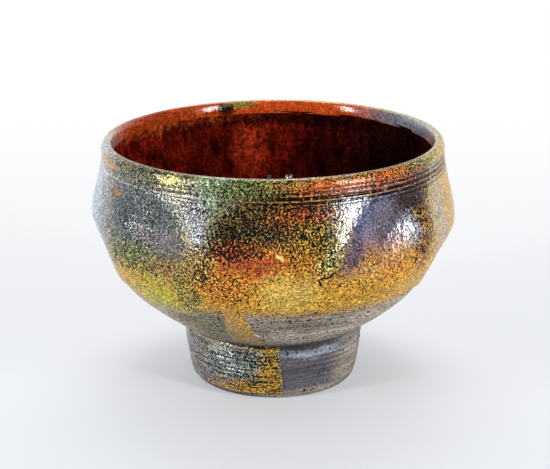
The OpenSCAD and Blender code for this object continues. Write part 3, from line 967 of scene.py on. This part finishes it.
# Bisque on the left and lilac on the right, where the lip turns away, are partly a painted reflection of the
# bright room at a grazing angle.
LIP = [
    (-78, 84, 26, 8, "bisque", 0.2, 0.3, 0.24),
    (115, 84, 24, 8, "frost", 0.16, 0.35, 0.22),
    (80, 85, 14, 8, "lilac", 0.2, 0.25, 0.26),
    (-125, 84, 22, 6, "rust", 0.2, 0.05, 0.14),
    (-161, 83.6, 4, 2, "black", 0.3, 0.1, 0.15),
    (-167, 85.4, 6, 1, "bronze", 0.3, 0, 0.2),
    (-35, 84.5, 34, 6, "fumed", 0.36, 0.2, 0.2),
    (0, 85, 14, 6, "lime", 0.36, 0.1, 0.2),
    (33, 85, 22, 6, "ember", 0.38, 0.1, 0.18),
]


def lip_glaze_paint():
    p = Paint("lip_glaze")
    grain = p.noise(0.6, 2, 0.6)
    colour, traits = p.patches(p.wrapped(4, 3), "cinnabar", (0.12, 0, 0.08, 1), LIP)
    specks, lustre, rough = p.apart(traits)
    colour, mottle = p.mottled(colour, 3, 0.75, 1.2)
    # The crest is paler: partly thinner glaze, partly a painted highlight along it.
    crest = p.span(p.z, RIM_Z + 0.25, RIM_Z + LIP_COAT, 0, 0.45)
    colour = p.mix(crest, colour, "cream")
    colour = p.flecked(colour, 0.7, 0.35, 0.04)
    colour, _ = p.speckled(grain, specks, colour)
    return p.finish(colour, rough, p.total((grain, 0.04), (mottle, 0.12)), lustre)


# Colours of the inside, which also paint light and shade: the crimson at the back is partly a painted lit
# bulge, and the wine beside it and on the right-hand wall is partly painted shade.
INSIDE = [
    (-120, 70, 36, 18, "oxblood", 0.14, 0, 0.22),
    (-152, 66, 8, 12, "wine", 0.2, 0, 0.2, 0.8, 0.5),
    (-170, 67, 7, 12, "crimson", 0.1, 0, 0.22, 0.5),
    (162, 66, 10, 18, "wine", 0.2, 0, 0.2, 0.8, 0.8),
    (122, 66, 32, 24, "wine", 0.4, 0, 0.18),
    (80, 70, 22, 18, "wine", 0.4, 0, 0.2, 0.6, 0.8),
    # Painted shadow under the back of the lip
    (172, 79.5, 40, 2.4, "wine", 0.4, 0, 0.2, 0.6, 0.75),
    (-132, 81, 28, 2.6, "ember", 0.3, 0, 0.18, 0.8, 0.6),
]


def inner_glaze_paint():
    p = Paint("crimson_glaze")
    colour, traits = p.patches(p.wrapped(6, 3), "oxblood", (0.2, 0, 0.2, 1), INSIDE)
    spots = [(bead.angle, bead.z, bead.wide, bead.wide, "snow", 0, 0.95, 0.38, 0.4) for bead in BEADS]
    colour, traits = p.patches(p.wrapped(0.6, 0.4), colour, traits, spots)
    specks, lustre, rough = p.apart(traits)
    colour, streak = p.mottled(colour, 3.2, 0.3, 1.9, (1, 1, 0.35))
    grain = p.noise(0.8, 2)
    colour = p.flecked(colour, 1.3, 0.5)
    colour, _ = p.speckled(grain, specks, colour)
    return p.finish(colour, rough, p.total((grain, 0.03), (streak, 0.1)), lustre, INSIDE_IOR)


CLAY = [
    (-30, 32, 20, 9, "fumed", 0.14, 0, 0.65),
    (5, 37, 22, 4, "clay", 0.12, 0, 0.7),
    (20, 28, 22, 4, "bisque", 0.08, 0, 0.75),
    (48, 35, 18, 8, "bisque", 0.08, 0, 0.7),
    # The pale bisque at the left edge is partly a painted sheen.
    (-62, 32, 21, 9, "bisque", 0.05, 0, 0.65),
    (78, 33, 18, 9, "sand", 0.1, 0, 0.7),
    (150, 32, 30, 6, "smoke", 0.14, 0, 0.72),
    (-140, 30, 30, 7, "clay", 0.12, 0, 0.72),
]


def pitted(p, colour, size, level):
    """Small dark holes in bare clay. Returns their mask too."""
    pit = p.span(p.noise(size, 1), level, level - 0.05)
    return p.mix(pit, colour, "black"), pit


def clay_paint():
    p = Paint("smoked_clay")
    colour, traits = p.patches(p.wrapped(6, 3), "clay", (0.1, 0, 0.7, 1), CLAY)
    specks, _, rough = p.apart(traits)
    colour, combed = p.mottled(colour, 2.4, 0.6, 1.35, COMBED)
    dusted = p.span(p.total((p.noise(1.1, 2), 6), (p.z, 1)), GLAZE_LINE_Z - 0.5, GLAZE_LINE_Z + 3.5)
    colour = p.mix(p.times(dusted, 0.75), colour, "ochre")
    # Painted shade, darker towards the seam where the bowl meets the foot
    colour = p.mix(p.span(p.z, SEAM_Z + 2.4, SEAM_Z + 0.2, 0, 0.7), colour, "soot")
    colour = p.flecked(colour, 0.7, 0.35, 0.05)
    grain = p.noise(0.7, 2)
    colour, _ = p.speckled(grain, specks, colour)
    colour, pit = pitted(p, colour, 0.9, 0.41)
    return p.finish(colour, rough, p.total((grain, 0.12), (combed, 0.2), (pit, -0.25)))


FOOT_CLAY = [
    (30, 16.8, 26, 1.5, "frost", 0.06, 0, 0.5, 0.7, 0.7),
    # The dark band under the seam is a painted shadow of the bowl.
    (18, 19.6, 26, 1, "soot", 0.4, 0, 0.7, 0.6, 0.8),
    (62, 9, 18, 12, "clay", 0.06, 0, 0.7),
    (30, 1.5, 40, 2, "clay", 0.06, 0, 0.7),
    (150, 10, 30, 9, "smoke", 0.1, 0, 0.7),
]


def foot_clay_paint():
    p = Paint("foot_clay")
    colour, traits = p.patches(p.wrapped(4, 2), "dusk", (0.06, 0, 0.6, 1), FOOT_CLAY)
    specks, _, rough = p.apart(traits)
    colour, combed = p.mottled(colour, 2, 0.5, 1.4, (0.12, 0.12, 3))
    colour = p.flecked(colour, 0.7, 0.25, 0.05)
    grain = p.noise(0.7, 2)
    colour, _ = p.speckled(grain, specks, colour)
    colour, pit = pitted(p, colour, 1.1, 0.35)
    return p.finish(colour, rough, p.total((grain, 0.08), (combed, 0.3), (pit, -0.25)))


FOOT_GLAZE = [
    (-58, 11, 40, 15, "mauve", 0.38, 0.35, 0.18),
    # The pale teal lies where the left lamp's highlight falls on the foot: partly painted highlight.
    (-24, 13, 22, 5.5, "teal", 0.48, 0.6, 0.12),
    (-2, 8, 8, 12, "ochre", 0.42, 0, 0.18),
    (-14, 3.5, 18, 3.5, "ochre", 0.42, 0, 0.18),
    (-20, 2, 36, 2, "ochre", 0.4, 0, 0.2),
    (-130, 10, 40, 12, "gunmetal", 0.44, 0.35, 0.18),
]


def foot_glaze_paint():
    p = Paint("foot_glaze")
    combed = p.noise(2, 3, 0.6, COMBED)
    grain = p.total((p.noise(0.58, 2, 0.6), 1), (combed, 0.6), (1, -0.3))
    colour, traits = p.patches(p.wrapped(3, 6), "bronze", (0.46, 0.2, 0.18, 1), FOOT_GLAZE)
    specks, lustre, rough = p.apart(traits)
    golden = p.span(p.angle, -75, -15, 0.3, 0.8)
    rows = p.span(p.total((p.noise(0.6, 1), 0.7), (combed, 1.1)), 0.98, 1.06, 0, golden)
    colour = p.mix(rows, colour, "ochre")
    colour = p.flecked(colour, 0.6, 0.5, 0.1)
    # White flecks in the lustre: painted glints
    painted_glints = p.times(p.span(p.noise(0.55, 1), 0.53, 0.62), p.times(lustre, 1.4))
    colour = p.mix(painted_glints, colour, "snow")
    colour, dark = p.speckled(grain, specks, colour)
    metal = p.times(lustre, p.total((dark, -0.7), (1, 1)))
    return p.finish(colour, rough, p.total((grain, 0.16), (combed, 0.3)), metal)


def slip_paint():
    p = Paint("smoked_slip_and_seam_shade")
    grain = p.noise(1.2, 3, 0.6)
    # Dark at the seam: partly smoke, partly painted shade
    colour = p.mix(p.span(grain, 0.3, 0.7), "soot", "umber")
    return p.finish(colour, 0.8, p.total((grain, 0.15)))


# Stage, light and camera

FLOOR_HALF = 4000
FLOOR_NEAR_Y = -110
FLOOR_FAR_Y = 430
# Share of the floor's white that is its own: near by, how much more far off, and how much less round the foot
OWN_WHITE = 0.6
OWN_WHITE_FAR = 0.4
OWN_WHITE_FOOT = -0.33
FOOT_SHADE = (75, 25)
# The bowl mirrors a floor that dims towards the front: between which places, and by how much
MIRROR_DIMS = (80, -80)
MIRROR_LOSS = -0.75
LAMP_AIM = (0, 0, 50)
ROOM_COLOUR = (0.94, 0.96, 1.0, 1.0)
# The room brightens between these directions, as shares of straight back
ROOM_BRIGHTENS = (0.1, 0.9)


def floor_paint():
    """A pale floor that keeps the bowl's shadow. Its whitening with distance is painted light."""
    p = Paint("pale_floor")
    far = p.span(p.y, FLOOR_NEAR_Y, FLOOR_FAR_Y)
    pale = p.mix(far, "floor_near", "floor_far")
    lit = p.node("BsdfDiffuse", {"Color": pale})
    path = p.node("LightPath").outputs
    mirrored = p.times(path["Is Glossy Ray"], p.span(p.y, *MIRROR_DIMS))
    level = p.total((mirrored, MIRROR_LOSS), (1.0, 1.0))
    glow = p.node("Emission", {"Color": pale, "Strength": level})
    seen = p.math("MAXIMUM", path["Is Camera Ray"], path["Is Glossy Ray"])
    around = p.vector("DISTANCE", p.vector("MULTIPLY", p.place, (1, 1, 0)), (0, 0, 0), "Value")
    shade = p.span(around, *FOOT_SHADE)
    share = p.total((far, OWN_WHITE_FAR), (shade, OWN_WHITE_FOOT), (1.0, OWN_WHITE))
    share = p.math("MAXIMUM", p.times(seen, share), mirrored)
    both = p.node("MixShader", {0: share, 1: lit.outputs[0], 2: glow.outputs[0]})
    out = p.node("OutputMaterial")
    p.tree.links.new(both.outputs[0], out.inputs[0])
    return p.material


def make_floor():
    half = FLOOR_HALF * MM
    mesh = bpy.data.meshes.new("floor")
    corners = [(-half, -half, 0), (half, -half, 0), (half, half, 0), (-half, half, 0)]
    mesh.from_pydata(corners, [], [(0, 1, 2, 3)])
    mesh.materials.append(floor_paint())
    new_object("floor", mesh)


def softbox(name, azimuth, elevation, distance, width, height, glow):
    """A soft lamp that faces the bowl from an azimuth and an elevation. Glow is how bright its face is."""
    data = bpy.data.lights.new(name, "AREA")
    data.shape = "RECTANGLE"
    data.size, data.size_y = width * MM, height * MM
    data.energy = glow * math.pi * data.size * data.size_y
    lamp = new_object(name, data)
    a, e = math.radians(azimuth), math.radians(elevation)
    back = Vector((math.sin(a) * math.cos(e), -math.cos(a) * math.cos(e), math.sin(e)))
    lamp.location = (Vector(LAMP_AIM) + back * distance) * MM
    lamp.rotation_euler = (-back).to_track_quat("-Z", "Y").to_euler()


def make_world(front_level, back_level):
    """A room that is dim behind the camera and bright behind the bowl."""
    world = bpy.data.worlds.new("studio")
    bpy.context.scene.world = world
    world.use_nodes = True
    tree = world.node_tree
    split = tree.nodes.new("ShaderNodeSeparateXYZ")
    tree.links.new(tree.nodes.new("ShaderNodeTexCoord").outputs["Generated"], split.inputs[0])
    ramp_node = tree.nodes.new("ShaderNodeMapRange")
    ramp_node.interpolation_type = "SMOOTHSTEP"
    tree.links.new(split.outputs[1], ramp_node.inputs[0])
    for socket, value in zip(ramp_node.inputs[1:5], (*ROOM_BRIGHTENS, front_level, back_level)):
        socket.default_value = value
    room = tree.nodes["Background"]
    room.inputs[0].default_value = ROOM_COLOUR
    tree.links.new(ramp_node.outputs[0], room.inputs[1])


CAMERA_DISTANCE = 560
CAMERA_PITCH = 17.3
CAMERA_AIM = (0.7, 0, 50.4)
FOCAL_PIXELS = 1595.1
PICTURE_WIDTH = 550


def make_camera():
    data = bpy.data.cameras.new("camera")
    data.sensor_width = 36
    data.lens = FOCAL_PIXELS / PICTURE_WIDTH * data.sensor_width
    data.clip_start, data.clip_end = 0.01, 30
    camera = new_object("camera", data)
    pitch = math.radians(CAMERA_PITCH)
    away = Vector((0, -math.cos(pitch), math.sin(pitch)))
    camera.location = (Vector(CAMERA_AIM) + away * CAMERA_DISTANCE) * MM
    camera.rotation_euler = (math.pi / 2 - pitch, 0, 0)
    bpy.context.scene.camera = camera


def build():
    new_piece("bowl_body_clay", *bowl_body_mesh(), clay_paint(), "bowl_body", "smoked_clay")
    new_piece("foot_ring_clay", *foot_ring_mesh(), foot_clay_paint(), "foot_ring", "foot_clay")
    new_piece("luting_slip_layer", *slip_mesh(), slip_paint(), "luting_slip", "slip")
    new_piece("outer_glaze_coat", *outer_glaze_mesh(), outer_glaze_paint(), "outer_glaze", "outer_glaze")
    new_piece("lip_glaze_coat", *lip_mesh(), lip_glaze_paint(), "lip_glaze", "lip_glaze")
    new_piece("inner_glaze_coat", *inner_glaze_mesh(), inner_glaze_paint(), "inner_glaze", "inner_glaze")
    new_piece("foot_glaze_coat", *foot_glaze_mesh(), foot_glaze_paint(), "foot_glaze", "foot_glaze")
    make_floor()
    make_world(front_level=0.06, back_level=1.2)
    softbox("left_softbox", azimuth=-60, elevation=14, distance=800, width=120, height=560, glow=25.0)
    softbox("right_softbox", azimuth=51.5, elevation=13, distance=800, width=100, height=600, glow=29.5)
    softbox("top_softbox", azimuth=180, elevation=70, distance=850, width=500, height=360, glow=5.8)
    make_camera()
    bpy.context.scene.view_settings.view_transform = "Standard"


build()
